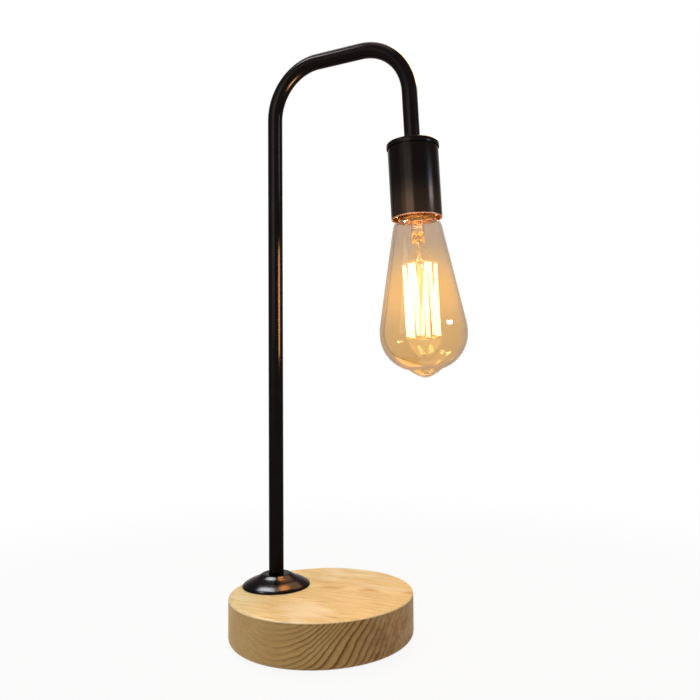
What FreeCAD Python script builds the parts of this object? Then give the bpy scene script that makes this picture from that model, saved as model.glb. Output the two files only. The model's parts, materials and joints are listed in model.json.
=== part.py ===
import FreeCAD, Part
import math
import os

from FreeCAD import Rotation, Vector

# Bare bulb table lamp: a round pine base, a bent black steel tube and a hanging E27 holder
# with a clear amber ST64 filament bulb. Lengths are in millimetres and angles in degrees.
# +Z is up, +X runs from the stem to the bulb, and the origin is the centre of the face the
# lamp stands on.

# wooden base
base_radius = 72.5
base_thickness = 34.0
base_top_round = 1.2
base_foot_round = 5.0
stem_setback = 28.5  # from the rear edge of the base to the stem axis

# felt pad under the base, half sunk in the wood
pad_inset = 8.5  # from the edge of the base
pad_thickness = 2.0
pad_sunk = 1.0

# wiring pocket and its cover
pocket_depth = 21.0
pocket_width = 36.0
pocket_rear_reach = 14.0  # from the stem axis to the rear wall of the pocket
pocket_length = 84.0
cover_thickness = 1.5
cover_ledge = 7.0
cover_screw_radius = 1.5
cover_screw_head_radius = 2.9
cover_screw_length = 11.0

# flange at the foot of the stem; its curve is a list of ratios, of the way from hub to rim and
# of the height
flange_radius = 27.5
flange_height = 10.1
flange_rim = 0.9
flange_hub_radius = 10.4
flange_foot_width = 5.0
flange_hollow_depth = 1.0
flange_seat_depth = 1.0
flange_curve_ratios = [(0.97, 0.15), (0.80, 0.35), (0.60, 0.53), (0.40, 0.67), (0.25, 0.79), (0.15, 0.90),
                       (0.07, 0.975)]

# bent tube
tube_radius = 6.0
tube_wall = 1.5
arm_height = 461.5  # centre line of the arm above the table
bend_radius = 42.0
arm_straight = 40.8
drop_straight = 40.6
hang_tilt = 3.1  # the holder leans outwards by this much

# threaded fittings, M10 x 1 pipe thread drawn at its outer radius
nipple_radius = 5.0
nipple_bore = 3.5
nipple_grip = 12.0  # length of nipple screwed into the tube
nipple_spare = 1.0  # length of nipple past its nut
washer_radius = 11.0
washer_thickness = 1.5
lock_washer_radius = 8.6
lock_washer_thickness = 1.2
lock_washer_gap = 1.2
tag_radius = 8.4
tag_thickness = 0.8
nut_flats = 14.0
nut_height = 4.0

# rubber bushing of the cord inlet, at the rear of the base
inlet_height = 11.0
bushing_bore = 3.5
bushing_body_radius = 5.0
bushing_flange_radius = 7.0
bushing_flange_thickness = 1.6
bushing_barb = 0.8
bushing_barb_length = 1.6

# three-way terminal block on the ceiling of the pocket
block_length = 18.0
block_pitch = 8.0
block_ways = 3
block_height = 14.0
block_front_gap = 7.0  # from the front wall of the pocket
block_hole_height = 5.0  # wire hole above the lower face of the block
block_insert_radius = 2.7
block_insert_bore = 1.7
block_screw_radius = 1.3
block_screw_recess = 0.8
block_screw_spacing = 8.6
block_cheek = 0.9  # plastic beside the outer ways
block_fixing_radius = 1.1
block_fixing_head = 2.2
block_fixing_depth = 6.0  # into the wood

# single insulated cores
core_radius = 1.1
core_spread = 1.4  # each of the two lamp cores lies this far from the middle of the tube
core_bend = 6.0
core_ease = 20.0  # bend where a core leaves the terminal block
core_lead_out = 7.0
core_holder_bend = 5.0
core_drop = 12.0  # depths below the top of the holder of the core's two corners in it
core_landing_depth = 18.5
core_below_stem = 0.5
core_grip = 6.0  # length of core inside the terminal block

# holder, measured along its own axis downwards from the top of its cap
cap_radius = 20.0
cap_height = 4.2
cap_plate = 1.8
cap_round = 1.4
cup_radius = 19.25
cup_wall = 1.2
cup_length = 56.0  # below the plate of the cap
bridge_width = 12.0
bridge_thickness = 1.5
bridge_end = 0.6  # past each post
post_radius = 2.4
post_spigot_radius = 1.4
post_offset = 11.2
post_tap = 7.0
socket_screw_radius = 1.5
socket_screw_head_radius = 2.2
socket_screw_head_height = 1.6
socket_screw_end_gap = 1.0
screw_slot_width = 0.6

# porcelain socket body and its contacts
socket_radius = 17.3
socket_top = 23.0
socket_floor = 29.5
socket_ledge = 36.0
socket_bottom = 54.0
socket_cavity_radius = 13.7
shell_radius = 14.2
strap_width = 5.0
strap_thickness = 0.6
strap_reach = 13.0  # middle of each upright strap from the socket axis
strap_inner = 6.2
strap_outer = 16.6
terminal_offset = 9.4
core_landing = 14.7
terminal_screw_radius = 1.5
terminal_head_radius = 2.6
terminal_head_height = 1.8
terminal_screw_depth = 4.0
tongue_width = 6.0
tongue_thickness = 0.5
tongue_pivot = 5.0  # hinge line of the tongue, behind the socket axis
tongue_tip = 4.0
tongue_flat = 3.0

# E27 thread
thread_pitch = 3.629
thread_path_radius = 11.9
bulb_ridge_radius = 1.2
bulb_core_radius = 12.0
thread_clearance = 0.3

# bulb cap and driver, along the same axis
contact_radius = 4.8
contact_height = 1.4
insulator_height = 3.4
insulator_radius = 8.4
insulator_top_radius = 5.6
insulator_edge = 0.6
bulb_cap_length = 26.5
bulb_cap_wall = 0.7
bulb_thread_top = 8.2  # below the tip of the contact
bulb_thread_length = 11.5
bulb_skirt_radius = 14.3
bulb_skirt_height = 3.0
bulb_skirt_past_rim = 1.0
driver_radius = 11.0
driver_thickness = 1.2
driver_capacitor_radius = 3.5
driver_capacitor_height = 7.0
driver_chip_length = 4.9
driver_chip_width = 3.5
driver_chip_height = 2.3

# glass envelope: radii, and distances below the rim of the holder
glass_wall = 0.8
glass_seal_radius = 10.7
glass_seal = 6.8  # this end of the neck is above the rim
glass_neck_radius = 13.3
glass_shoulder = [(14.6, 2.0), (16.6, 4.0), (17.7, 7.0), (18.3, 10.0)]
glass_cone_radius = 30.8
glass_cone_end = 76.0
glass_belly_radius = 32.0
glass_belly = 86.5
glass_bowl_radius = 27.0
glass_bowl_end_angle = 74.0
glass_nipple_radius = 8.1
glass_nipple_height = 3.1
glass_tip = 118.5

# glass stem and filament cage inside the bulb
stem_glass_radius = 5.0
press_width = 9.4
press_depth = 4.0
press_top = 10.7
press_bottom = 18.4
rod_radius = 2.3
button_radius = 3.4
button_height = 1.6
cage_top = 33.3
cage_length = 56.8
cage_radius = 11.9
cage_turn = -65.0  # turn of the cage about the bulb axis
cage_twist = -12.0
cage_points = 6
stick_radius = 1.25
stick_pair = 6.5  # degrees from an anchor point to each of its two sticks
wire_radius = 0.3
lead_spread = 2.6
lead_side = 9.3
lead_exit = 1.2  # below the press
lead_side_drop = 4.4  # above the upper anchors
lead_bend = 1.0

# gaps between pieces
close_fit = 0.1
free_fit = 0.3

up = Vector(0, 0, 1)
origin = Vector(0, 0, 0)
os.makedirs("parts", exist_ok=True)


def disc(radius, low, high, x=0.0, y=0.0):
    return Part.makeCylinder(radius, high - low, Vector(x, y, low), up)


def ring(outer, inner, low, high, x=0.0, y=0.0):
    return disc(outer, low, high, x, y).cut(disc(inner, low, high, x, y))


def lying_rod(radius, x_low, x_high, y, z):
    return Part.makeCylinder(radius, x_high - x_low, Vector(x_low, y, z), Vector(1, 0, 0))


def block(x_low, x_high, y_low, y_high, z_low, z_high):
    size = (x_high - x_low, y_high - y_low, z_high - z_low)
    return Part.makeBox(*size, Vector(x_low, y_low, z_low))


def rod_between(start, end, radius):
    return Part.makeCylinder(radius, start.distanceToPoint(end), start, end - start)


def slot(x_rear, x_front, half_width, low, high):
    """Round-ended prism along X."""
    middle = block(x_rear + half_width, x_front - half_width, -half_width, half_width, low, high)
    rear = disc(half_width, low, high, x_rear + half_width)
    front = disc(half_width, low, high, x_front - half_width)
    return middle.fuse([rear, front]).removeSplitter()


def spun(edges, x=0.0):
    """Solid of revolution about the Z axis of a closed outline in the XZ plane."""
    solid = Part.Face(Part.Wire(edges)).revolve(origin, up, 360)
    solid = Part.makeSolid(solid) if solid.ShapeType != "Solid" else solid
    solid.translate(Vector(x, 0, 0))
    return solid


def profile(*steps):
    """Edges through (radius, z) points; a list among them is passed by one smooth curve."""
    edges = []
    last = None
    for step in steps:
        if isinstance(step, list):
            points = [Vector(r, 0, z) for r, z in step]
            if last is not None:
                points.insert(0, last)
            curve = Part.BSplineCurve()
            curve.interpolate(points)
            edges.append(curve.toShape())
            last = points[-1]
        else:
            point = Vector(step[0], 0, step[1])
            if last is not None:
                edges.append(Part.LineSegment(last, point).toShape())
            last = point
    return edges


def closed(edges):
    start = edges[0].valueAt(edges[0].FirstParameter)
    end = edges[-1].valueAt(edges[-1].LastParameter)
    return edges + [Part.LineSegment(end, start).toShape()]


def hexagon_corner(flats):
    return flats / 2 / math.cos(math.pi / 6)


def hexagon(flats, low, high):
    corner = hexagon_corner(flats)
    turns = [math.radians(60 * k) for k in range(6)]
    points = [Vector(corner * math.cos(turn), corner * math.sin(turn), low) for turn in turns]
    return Part.Face(Part.makePolygon(points + points[:1])).extrude(Vector(0, 0, high - low))


def route(points, radii):
    """Straight runs through points, joined by tangent arcs of the given radii."""
    edges = []
    start = points[0]
    for before, corner, after, radius in zip(points, points[1:], points[2:], radii):
        inward = (before - corner).normalize()
        onward = (after - corner).normalize()
        half_turn = (math.pi - inward.getAngle(onward)) / 2
        back = radius * math.tan(half_turn)
        middle = (inward + onward).normalize()
        arc_start = corner + inward * back
        arc_end = corner + onward * back
        arc_middle = corner + middle * (radius / math.cos(half_turn) - radius)
        edges.append(Part.LineSegment(start, arc_start).toShape())
        edges.append(Part.Arc(arc_start, arc_middle, arc_end).toShape())
        start = arc_end
    edges.append(Part.LineSegment(start, points[-1]).toShape())
    return Part.Wire(edges)


def swept(path, radius):
    """Round bar along a path that is made of straight runs and tangent arcs."""
    start = path.Edges[0].valueAt(path.Edges[0].FirstParameter)
    heading = path.Edges[0].tangentAt(path.Edges[0].FirstParameter)
    section = Part.Wire(Part.makeCircle(radius, start, heading))
    bar = path.makePipeShell([section], True, True)
    print("  bar of radius", radius, "volume over section x length",
          round(bar.Volume / (math.pi * radius ** 2 * path.Length), 5))
    return bar


def coil(low, high, section_radius):
    """Right-handed round thread; equal heights always have equal angles."""
    helix = Part.makeHelix(thread_pitch, high - low, thread_path_radius)
    rise = thread_pitch / (2 * math.pi)
    heading = Vector(0, thread_path_radius, rise)
    section = Part.Wire(Part.makeCircle(section_radius, Vector(thread_path_radius, 0, 0), heading))
    thread = Part.Wire(helix.Edges).makePipeShell([section], True, True)
    thread.rotate(origin, up, 360 * low / thread_pitch)
    thread.translate(Vector(0, 0, low))
    return thread


def wood_screw(radius, head_radius, length):
    """Countersunk screw with the face of its head at z = 0 and its point upwards."""
    head = head_radius - radius
    outline = profile((0, 0), (head_radius, 0), (radius, head), (radius, length - 2 * radius),
                      (0, length))
    cross = block(-head_radius / 2, head_radius / 2, -head / 4, head / 4, 0, head / 2)
    turned = cross.copy()
    turned.rotate(origin, up, 90)
    return spun(closed(outline)).cut([cross, turned])


def moved(shape, x=0.0, y=0.0, z=0.0):
    copy = shape.copy()
    copy.translate(Vector(x, y, z))
    return copy


def save(name, shape):
    solids = shape if isinstance(shape, list) else [shape]
    flat = [solid for piece in solids for solid in piece.Solids]
    for solid in flat:
        if not solid.isValid() or solid.Volume <= 0:
            raise ValueError(name + " has a bad solid")
    result = flat[0] if len(flat) == 1 else Part.makeCompound(flat)
    result.exportStep("parts/" + name + ".step")
    print(name, "solids", len(flat), "volume", round(sum(solid.Volume for solid in flat), 1))


# heights that the pieces share
wood_bottom = pad_thickness - pad_sunk
wood_top = wood_bottom + base_thickness
cover_top = pad_thickness + cover_thickness
pocket_top = wood_bottom + pocket_depth
tube_bottom = wood_top + flange_height - flange_seat_depth
pad_radius = base_radius - pad_inset
stem_x = stem_setback - base_radius
pocket_rear = stem_x - pocket_rear_reach
pocket_front = pocket_rear + pocket_length

# stack of fittings under the ceiling of the pocket
washer_low = pocket_top - washer_thickness
tag_low = washer_low - tag_thickness
lock_low = tag_low - lock_washer_thickness
nut_low = lock_low - nut_height
nipple_low = nut_low - nipple_spare

# crimp barrel of the earth tag, just under the ceiling
barrel_bore = core_radius + close_fit
barrel_radius = barrel_bore + tag_thickness
barrel_level = pocket_top - free_fit - barrel_radius
barrel_rear = stem_x + washer_radius + free_fit
barrel_front = barrel_rear + core_grip

# terminal block
block_rear = pocket_front - block_front_gap - block_length
block_low = pocket_top - block_height
wire_level = block_low + block_hole_height
block_middle = block_rear + block_length / 2
block_width = block_ways * block_pitch + 2 * block_cheek
ways = [(k - (block_ways - 1) / 2) * block_pitch for k in range(block_ways)]
fixing_ys = [(near + far) / 2 for near, far in zip(ways, ways[1:])]

# centre line of the bent tube
tilt = math.radians(hang_tilt)
down = Vector(math.sin(tilt), 0, -math.cos(tilt))
bend_reach = bend_radius * math.tan((math.pi / 2 - tilt) / 2)
arm_start = Vector(stem_x, 0, arm_height)
arm_end = Vector(stem_x + bend_radius + arm_straight + bend_reach, 0, arm_height)
holder_top = arm_end + down * (bend_reach + drop_straight)

# levels of the holder, as depths below the top of its cap
cup_rim = cap_plate + cup_length
bridge_low = cap_plate + bridge_thickness
holder_nut_low = bridge_low + nut_height
holder_nipple_low = holder_nut_low + nipple_spare
bulb_skirt_low = cup_rim + bulb_skirt_past_rim
contact_tip = bulb_skirt_low - bulb_cap_length
contact_low = contact_tip + contact_height
insulator_top = contact_low + close_fit
insulator_low = insulator_top + insulator_height
skirt_top = bulb_skirt_low - bulb_skirt_height
glass_top = cup_rim - glass_seal
cage_high = cup_rim + cage_top
cage_low = cage_high + cage_length
tongue_low = contact_tip - free_fit
tongue_level = socket_floor + strap_thickness / 2


def hung(shape):
    """Holder pieces are drawn hanging from the origin, then put on the end of the tube."""
    placed = []
    for solid in shape if isinstance(shape, list) else [shape]:
        copy = solid.copy()
        copy.rotate(origin, Vector(0, 1, 0), -hang_tilt)
        copy.translate(holder_top)
        placed.append(copy)
    return placed


def hung_point(x, y, depth):
    return holder_top + Rotation(Vector(0, 1, 0), -hang_tilt).multVec(Vector(x, y, -depth))


def hdisc(radius, top, bottom, x=0.0, y=0.0):
    return disc(radius, -bottom, -top, x, y)


def hring(outer, inner, top, bottom):
    return hdisc(outer, top, bottom).cut(hdisc(inner, top, bottom))


def hblock(x_low, x_high, y_low, y_high, top, bottom):
    return block(x_low, x_high, y_low, y_high, -bottom, -top)


def hprofile(*steps):
    """Outline from (radius, depth) points, closed by a last straight edge."""
    turned = []
    for step in steps:
        turned.append([(r, -d) for r, d in step] if isinstance(step, list) else (step[0], -step[1]))
    return closed(profile(*turned))


def cover_screw_places():
    y = (pocket_width + cover_ledge) / 2
    rear = pocket_rear + pocket_width / 2
    front = pocket_front - pocket_width / 2
    return [(x, side * y) for x in (rear, front) for side in (-1, 1)]


def make_wood_base():
    wood = disc(base_radius, wood_bottom, wood_top)
    for radius, level in ((base_top_round, wood_top), (base_foot_round, wood_bottom)):
        rim = [edge for edge in wood.Edges if isinstance(edge.Curve, Part.Circle)
               and abs(edge.CenterOfMass.z - level) < close_fit]
        wood = wood.makeFillet(radius, rim)
    cuts = [
        disc(pad_radius + free_fit, wood_bottom, pad_thickness),
        slot(pocket_rear - cover_ledge, pocket_front + cover_ledge,
             pocket_width / 2 + cover_ledge, pad_thickness, cover_top),
        slot(pocket_rear, pocket_front, pocket_width / 2, cover_top, pocket_top),
        disc(nipple_radius + free_fit, pocket_top, wood_top, stem_x),
        lying_rod(bushing_body_radius, -base_radius, pocket_rear + pocket_width / 2, 0, inlet_height),
        lying_rod(bushing_flange_radius + close_fit, -base_radius,
                  -base_radius + bushing_flange_thickness, 0, inlet_height),
        lying_rod(bushing_body_radius + bushing_barb + close_fit, pocket_rear,
                  pocket_rear + pocket_width / 2, 0, inlet_height),
    ]
    for x, y in cover_screw_places():
        cuts.append(moved(wood_screw(cover_screw_radius, cover_screw_head_radius, cover_screw_length),
                          x, y, pad_thickness))
    for y in fixing_ys:
        cuts.append(disc(block_fixing_radius, pocket_top, pocket_top + block_fixing_depth, block_middle, y))
    return wood.cut(cuts)


def make_cover():
    plate = slot(pocket_rear - cover_ledge + free_fit, pocket_front + cover_ledge - free_fit,
                 pocket_width / 2 + cover_ledge - free_fit, pad_thickness, cover_top)
    sink = cover_screw_head_radius - cover_screw_radius
    cone = Part.makeCone(cover_screw_head_radius, cover_screw_radius, sink)
    holes = []
    for x, y in cover_screw_places():
        holes.append(moved(cone, x, y, pad_thickness))
        holes.append(disc(cover_screw_radius, pad_thickness, cover_top, x, y))
    return plate.cut(holes)


def make_cover_screws():
    screw = wood_screw(cover_screw_radius, cover_screw_head_radius, cover_screw_length)
    return [moved(screw, x, y, pad_thickness) for x, y in cover_screw_places()]


def make_bushing():
    """Rubber sleeve with a flange outside the wood and a barb inside the pocket."""
    face = -base_radius
    body = lying_rod(bushing_body_radius, face, pocket_rear + bushing_barb_length, 0, inlet_height)
    flange = lying_rod(bushing_flange_radius, face, face + bushing_flange_thickness, 0, inlet_height)
    barb = lying_rod(bushing_body_radius + bushing_barb, pocket_rear,
                     pocket_rear + bushing_barb_length, 0, inlet_height)
    bore = lying_rod(bushing_bore, face, pocket_rear + bushing_barb_length, 0, inlet_height)
    return body.fuse([flange, barb]).cut(bore).removeSplitter()


def make_flange():
    width = flange_radius - flange_hub_radius
    curve = [(flange_hub_radius + across * width, wood_top + rise * flange_height)
             for across, rise in flange_curve_ratios]
    hub_top = wood_top + flange_height
    hole = nipple_radius + free_fit
    seat = tube_radius + close_fit
    seat_level = hub_top - flange_seat_depth
    hollow = wood_top + flange_hollow_depth
    hollow_out = flange_radius - flange_foot_width
    hollow_in = hole + flange_foot_width
    outline = profile((hole, seat_level), (hole, wood_top), (hollow_in, wood_top), (hollow_in, hollow),
                      (hollow_out, hollow), (hollow_out, wood_top), (flange_radius, wood_top),
                      (flange_radius, wood_top + flange_rim),
                      curve + [(flange_hub_radius, hub_top)], (seat, hub_top), (seat, seat_level))
    return spun(closed(outline), stem_x)


def make_terminal_block():
    body = block(block_rear, block_rear + block_length, -block_width / 2, block_width / 2,
                 block_low, pocket_top)
    cuts = [lying_rod(block_insert_radius, block_rear, block_rear + block_length, y, wire_level)
            for y in ways]
    for x, y in block_screw_places():
        cuts.append(disc(block_screw_radius + free_fit, block_low, wire_level, x, y))
    for y in fixing_ys:
        cuts.append(disc(block_fixing_radius, block_low, pocket_top, block_middle, y))
        cuts.append(disc(block_fixing_head + close_fit, block_low, block_low + block_fixing_head,
                         block_middle, y))
    return body.cut(cuts)


def block_screw_places():
    half = block_screw_spacing / 2
    return [(block_middle + side * half, y) for y in ways for side in (-1, 1)]


def make_block_inserts():
    inserts = []
    for y in ways:
        insert = lying_rod(block_insert_radius, block_rear, block_rear + block_length, y, wire_level)
        bore = lying_rod(block_insert_bore, block_rear, block_rear + block_length, y, wire_level)
        taps = [disc(block_screw_radius, block_low, wire_level, x, way)
                for x, way in block_screw_places() if way == y]
        inserts.append(insert.cut([bore] + taps))
    return inserts


def make_block_screws():
    """Clamp screws: each ends on the core inside its insert, or at the level of one."""
    return [disc(block_screw_radius, block_low + block_screw_recess, wire_level - core_radius, x, y)
            for x, y in block_screw_places()]


def make_fixing_screws():
    shank_top = pocket_top + block_fixing_depth
    screws = []
    for y in fixing_ys:
        head = disc(block_fixing_head, block_low + block_screw_recess, block_low + block_fixing_head,
                    block_middle, y)
        shank = disc(block_fixing_radius, block_low + block_fixing_head, shank_top, block_middle, y)
        screws.append(head.fuse(shank))
    return screws


def make_tube():
    path = route([Vector(stem_x, 0, tube_bottom), arm_start, arm_end, holder_top],
                 [bend_radius, bend_radius])
    bar = swept(path, tube_radius)
    bore = swept(path, tube_radius - tube_wall)
    taps = [disc(nipple_radius, tube_bottom, tube_bottom + nipple_grip, stem_x)]
    taps += hung(hdisc(nipple_radius, -nipple_grip, 0))
    return bar.cut([bore] + taps)


def make_nut(low, x=0.0):
    nut = hexagon(nut_flats, low, low + nut_height).cut(disc(nipple_radius, low, low + nut_height))
    corner = hexagon_corner(nut_flats)
    chamfer = corner - nut_flats / 2
    bevel = spun(closed(profile((0, low), (nut_flats / 2, low), (corner, low + chamfer),
                                (corner, low + nut_height), (0, low + nut_height))))
    return moved(nut.common(bevel), x)


def make_lock_washer():
    """Split ring with a narrow gap."""
    washer = ring(lock_washer_radius, nipple_radius + close_fit, lock_low, tag_low, stem_x)
    gap = block(stem_x - lock_washer_radius, stem_x, -lock_washer_gap / 2, lock_washer_gap / 2,
                lock_low, tag_low)
    return washer.cut(gap)


def make_earth_tag():
    """Ring tongue under the nut, with a crimp barrel for the earth core."""
    plate = disc(tag_radius, tag_low, washer_low, stem_x)
    tongue = block(stem_x, barrel_rear + tag_thickness, -strap_width / 2, strap_width / 2,
                   tag_low, washer_low)
    barrel = lying_rod(barrel_radius, barrel_rear, barrel_front, 0, barrel_level)
    hole = disc(nipple_radius + close_fit, tag_low, washer_low, stem_x)
    bore = lying_rod(barrel_bore, barrel_rear + tag_thickness, barrel_front, 0, barrel_level)
    return plate.fuse([tongue, barrel]).cut([hole, bore])


def lamp_core(side):
    """Core from the terminal block, up the stem and over the arm to one tab of the socket."""
    way = ways[-1] if side > 0 else ways[0]
    y = side * core_spread
    landing = -side * core_landing
    low = nipple_low - core_below_stem - core_bend
    across = Vector(0, y, 0)
    points = [
        Vector(block_rear + core_grip, way, wire_level),
        Vector(block_rear - core_lead_out, way, wire_level),
        Vector(stem_x, y, low),
        arm_start + across,
        arm_end + across,
        hung_point(0, y, core_drop),
        hung_point(landing, y, core_landing_depth),
        hung_point(landing, y, socket_top - strap_thickness),
    ]
    radii = [core_ease, core_bend, bend_radius, bend_radius, core_holder_bend, core_holder_bend]
    return swept(route(points, radii), core_radius)


def earth_core():
    points = [
        Vector(block_rear + core_grip, 0, wire_level),
        Vector(block_rear - core_lead_out, 0, wire_level),
        Vector(barrel_front + core_lead_out, 0, barrel_level),
        Vector(barrel_front - core_grip / 2, 0, barrel_level),
    ]
    return swept(route(points, [core_ease / 2, core_ease / 2]), core_radius)


def make_cap():
    arc = Part.Arc(Vector(cap_radius - cap_round, 0, 0),
                   Vector(cap_radius - cap_round * (1 - math.sin(math.pi / 4)), 0,
                          -cap_round * (1 - math.sin(math.pi / 4))),
                   Vector(cap_radius, 0, -cap_round)).toShape()
    inner = cup_radius + close_fit
    hole = nipple_radius + close_fit
    top = profile((hole, -cap_plate), (hole, 0), (cap_radius - cap_round, 0))
    side = profile((cap_radius, -cap_round), (cap_radius, -cap_height), (inner, -cap_height),
                   (inner, -cap_plate))
    return spun(closed(top + [arc] + side))


def make_cup():
    cup = hring(cup_radius, cup_radius - cup_wall, cap_plate, cup_rim)
    rim = [edge for edge in cup.Edges if isinstance(edge.Curve, Part.Circle)
           and abs(edge.CenterOfMass.z + cup_rim) < close_fit]
    return cup.makeFillet(cup_wall / 4, rim)


def make_bridge():
    half = post_offset + post_radius + bridge_end
    strap = hblock(-bridge_width / 2, bridge_width / 2, -half, half, cap_plate, bridge_low)
    holes = [hdisc(nipple_radius + close_fit, cap_plate, bridge_low)]
    holes += [hdisc(post_spigot_radius, cap_plate, bridge_low, 0, side * post_offset) for side in (-1, 1)]
    return strap.cut(holes)


def make_posts():
    posts = []
    for side in (-1, 1):
        y = side * post_offset
        post = hdisc(post_radius, bridge_low, socket_top, 0, y)
        spigot = hdisc(post_spigot_radius, cap_plate, bridge_low, 0, y)
        tap = hdisc(socket_screw_radius, socket_top - post_tap, socket_top, 0, y)
        posts.append(post.fuse(spigot).cut(tap))
    return posts


def make_socket_screws():
    screws = []
    for side in (-1, 1):
        y = side * post_offset
        shank = hdisc(socket_screw_radius, socket_top - post_tap + socket_screw_end_gap, socket_floor,
                      0, y)
        head = hdisc(socket_screw_head_radius, socket_floor, socket_floor + socket_screw_head_height, 0, y)
        groove = hblock(-screw_slot_width / 2, screw_slot_width / 2, y - post_radius, y + post_radius,
                        socket_floor + socket_screw_head_height / 2,
                        socket_floor + socket_screw_head_height)
        screws.append(shank.fuse(head).cut(groove))
    return screws


def make_socket_body():
    body = hdisc(socket_radius, socket_top, socket_bottom)
    cuts = [hdisc(socket_cavity_radius, socket_floor, socket_bottom),
            hdisc(shell_radius + close_fit, socket_ledge, socket_bottom)]
    for side in (-1, 1):
        middle = side * strap_reach
        half_gap = strap_thickness / 2 + close_fit
        cuts.append(hblock(middle - half_gap, middle + half_gap, -strap_width / 2 - close_fit,
                           strap_width / 2 + close_fit, socket_top, socket_floor))
        cuts.append(hdisc(terminal_screw_radius, socket_top, socket_top + terminal_screw_depth,
                          side * terminal_offset, 0))
        cuts.append(hdisc(socket_screw_radius + close_fit, socket_top, socket_floor, 0, side * post_offset))
    return body.cut(cuts)


def make_screw_shell():
    top = socket_ledge + free_fit
    bottom = socket_bottom - free_fit
    bore = bulb_core_radius + thread_clearance
    shell = hring(shell_radius, bore, top, bottom)
    groove = coil(-bottom - thread_pitch, -top - thread_pitch / 2, bulb_ridge_radius + thread_clearance)
    return shell.cut(groove)


def terminal_tab(side):
    ends = sorted((side * strap_inner, side * strap_outer))
    tab = hblock(*ends, -strap_width / 2, strap_width / 2, socket_top - strap_thickness, socket_top)
    hole = hdisc(terminal_screw_radius, socket_top - strap_thickness, socket_top,
                 side * terminal_offset, 0)
    return tab.cut(hole)


def upright(side, bottom):
    middle = side * strap_reach
    return hblock(middle - strap_thickness / 2, middle + strap_thickness / 2,
                  -strap_width / 2, strap_width / 2, socket_top - strap_thickness, bottom)


def make_live_strap():
    """Terminal tab, upright through the floor of the socket, and the foot of the contact tongue."""
    foot = hblock(-strap_reach - strap_thickness / 2, -tongue_pivot - free_fit,
                  -strap_width / 2, strap_width / 2, socket_floor, socket_floor + strap_thickness)
    return terminal_tab(-1).fuse([upright(-1, socket_floor + strap_thickness), foot]).removeSplitter()


def make_neutral_strap():
    return terminal_tab(1).fuse(upright(1, socket_ledge + free_fit)).removeSplitter()


def make_terminal_screws():
    screws = []
    for side in (-1, 1):
        x = side * terminal_offset
        top = socket_top - strap_thickness
        shank = hdisc(terminal_screw_radius, top, socket_top + terminal_screw_depth, x, 0)
        head = hdisc(terminal_head_radius, top - terminal_head_height, top, x, 0)
        groove = hblock(x - terminal_head_radius, x + terminal_head_radius,
                        -screw_slot_width / 2, screw_slot_width / 2,
                        top - terminal_head_height, top - terminal_head_height / 2)
        screws.append(shank.fuse(head).cut(groove))
    return screws


def make_tongue():
    """Bronze spring that bends at its root and bears on the contact of the bulb."""
    thick = tongue_thickness
    high = tongue_low - thick
    outline = [(-tongue_pivot, tongue_level - thick / 2), (-tongue_flat, high), (tongue_tip, high),
               (tongue_tip, tongue_low), (-tongue_flat - thick / 2, tongue_low),
               (-tongue_pivot, tongue_level + thick / 2)]
    points = [Vector(x, -tongue_width / 2, -depth) for x, depth in outline]
    face = Part.Face(Part.makePolygon(points + points[:1]))
    return face.extrude(Vector(0, tongue_width, 0))


def make_contact():
    edge = contact_height / 3
    return spun(hprofile((0, contact_tip), (contact_radius - 2 * edge, contact_tip),
                         (contact_radius, contact_tip + 2 * edge), (contact_radius, contact_low),
                         (0, contact_low)))


def make_insulator():
    return spun(hprofile((0, insulator_top), (insulator_top_radius, insulator_top),
                         (insulator_radius, insulator_low - insulator_edge),
                         (insulator_radius, insulator_low), (0, insulator_low)))


def make_bulb_cap():
    """Brass screw cap with a rolled thread and a wider skirt round the neck of the glass."""
    wall = bulb_cap_wall
    lip = insulator_radius + close_fit
    core = bulb_core_radius
    lip_top = insulator_low - insulator_edge
    core_top = lip_top + core - lip - wall
    flare = bulb_skirt_radius - core
    flare_top = skirt_top - flare / 2
    cap = spun(hprofile((lip, lip_top), (lip + wall, lip_top), (core, core_top), (core, flare_top),
                        (bulb_skirt_radius, skirt_top), (bulb_skirt_radius, bulb_skirt_low),
                        (bulb_skirt_radius - wall, bulb_skirt_low),
                        (bulb_skirt_radius - wall, skirt_top + wall / 2),
                        (core - wall, flare_top + wall / 2), (core - wall, core_top + wall),
                        (lip, insulator_low + close_fit)))
    thread_high = contact_tip + bulb_thread_top
    ridge = coil(-thread_high - bulb_thread_length, -thread_high, bulb_ridge_radius)
    inside = hdisc(core - wall, thread_high - thread_pitch,
                   thread_high + bulb_thread_length + thread_pitch)
    return cap.fuse(ridge.cut(inside)).removeSplitter()


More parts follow.
